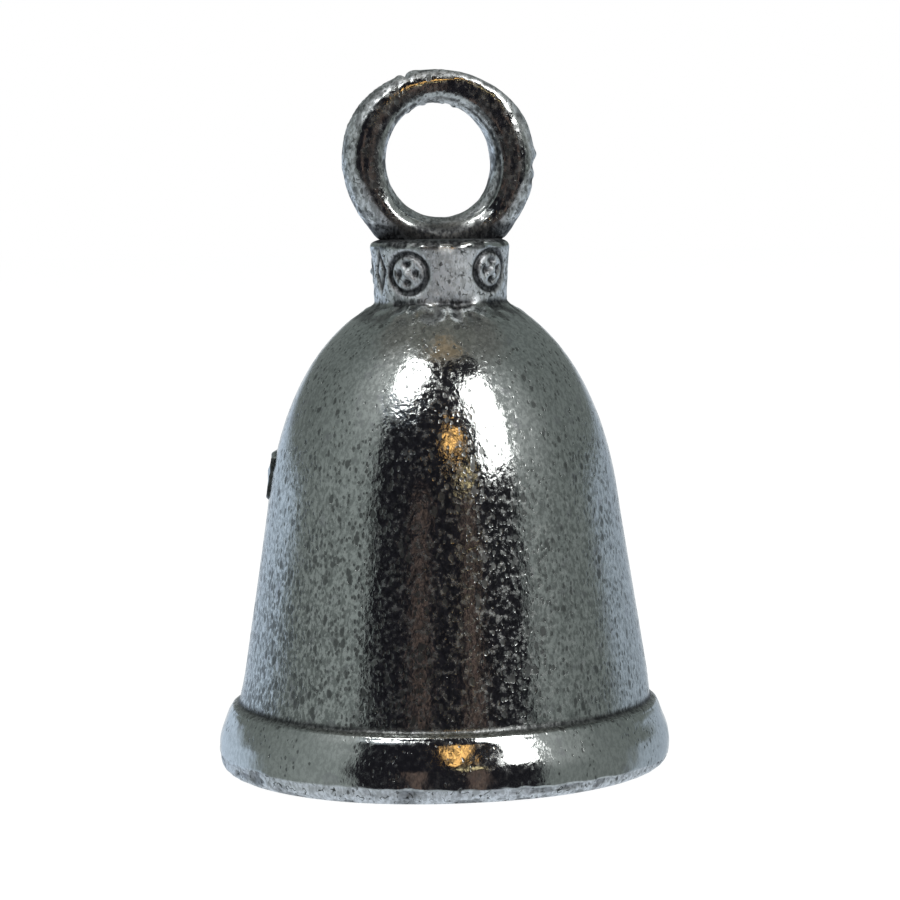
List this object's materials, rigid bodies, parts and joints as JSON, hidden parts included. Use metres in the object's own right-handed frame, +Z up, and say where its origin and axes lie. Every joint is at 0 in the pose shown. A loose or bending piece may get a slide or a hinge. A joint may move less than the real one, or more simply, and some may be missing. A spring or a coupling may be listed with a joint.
{
  "type": "small cast bell",
  "caption": "Small cast pewter bell with a hanging ring, a rim band and a ball clapper that swings freely inside.",
  "frame": {"origin": "centre of the mouth plane that the bell stands on", "axes": "+Z up through the crown and the hanging ring; the ring's hole runs along Y; the raised emblem is on the +Y side"},
  "size_m": [0.025, 0.025, 0.0382],
  "materials": {
    "pewter": "cast pewter, dark patina left in the recesses and the high places polished back",
    "wire": "drawn steel wire, slightly dulled",
    "ball": "cast metal ball, darkened"
  },
  "bodies": {
    "bell": {"bell_body": "pewter", "crown_staple": "wire"},
    "link": {"clapper_link": "wire"},
    "clapper": {"clapper_wire": "wire", "clapper_ball": "ball"}
  },
  "joints": [
    {"name": "link_swing", "type": "hinge", "parent": "bell", "child": "link", "pos_m": [0, 0, 0.0206], "axis": [1, 0, 0], "range_deg": [-16, 16]},
    {"name": "clapper_swing", "type": "hinge", "parent": "link", "child": "clapper", "pos_m": [0, 0, 0.01785], "axis": [0, 1, 0], "range_deg": [-20, 20]}
  ]
}
